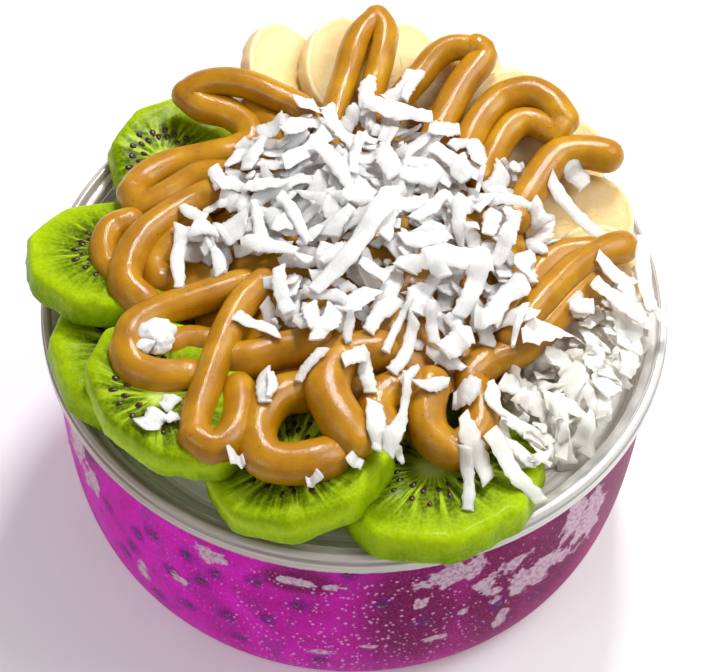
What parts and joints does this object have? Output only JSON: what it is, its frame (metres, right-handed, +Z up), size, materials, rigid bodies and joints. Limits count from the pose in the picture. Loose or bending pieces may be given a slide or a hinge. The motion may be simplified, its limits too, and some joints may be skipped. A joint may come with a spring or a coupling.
{
  "type": "smoothie bowl",
  "caption": "Clear plastic bowl filled with pink pitaya smoothie, topped with kiwi slices, banana slices, thick loops of nut butter and a heap of coconut shreds.",
  "frame": {"origin": "middle of the underside of the bowl's flat base", "axes": "+Z up through the bowl's mouth; +X to the right and -Y towards the viewer, as the picture shows it"},
  "size_m": [0.155, 0.1554, 0.1015],
  "materials": {
    "clear_plastic": "clear, thin, glossy",
    "smoothie": "thick, moist",
    "kiwi": "moist, slightly translucent",
    "banana": "moist",
    "nut_butter": "oily gloss",
    "coconut": "dry, slightly waxy"
  },
  "bodies": {
    "root": {"bowl": "clear_plastic", "smoothie": "smoothie", "kiwi_1": "kiwi", "kiwi_2": "kiwi", "kiwi_3": "kiwi", "kiwi_4": "kiwi", "kiwi_5": "kiwi", "kiwi_6": "kiwi", "banana_1": "banana", "banana_2": "banana", "banana_3": "banana", "banana_4": "banana", "banana_5": "banana", "banana_6": "banana", "banana_7": "banana", "banana_8": "banana", "nut_butter": "nut_butter", "coconut_heap": "coconut", "coconut_pile": "coconut"}
  },
  "joints": []
}
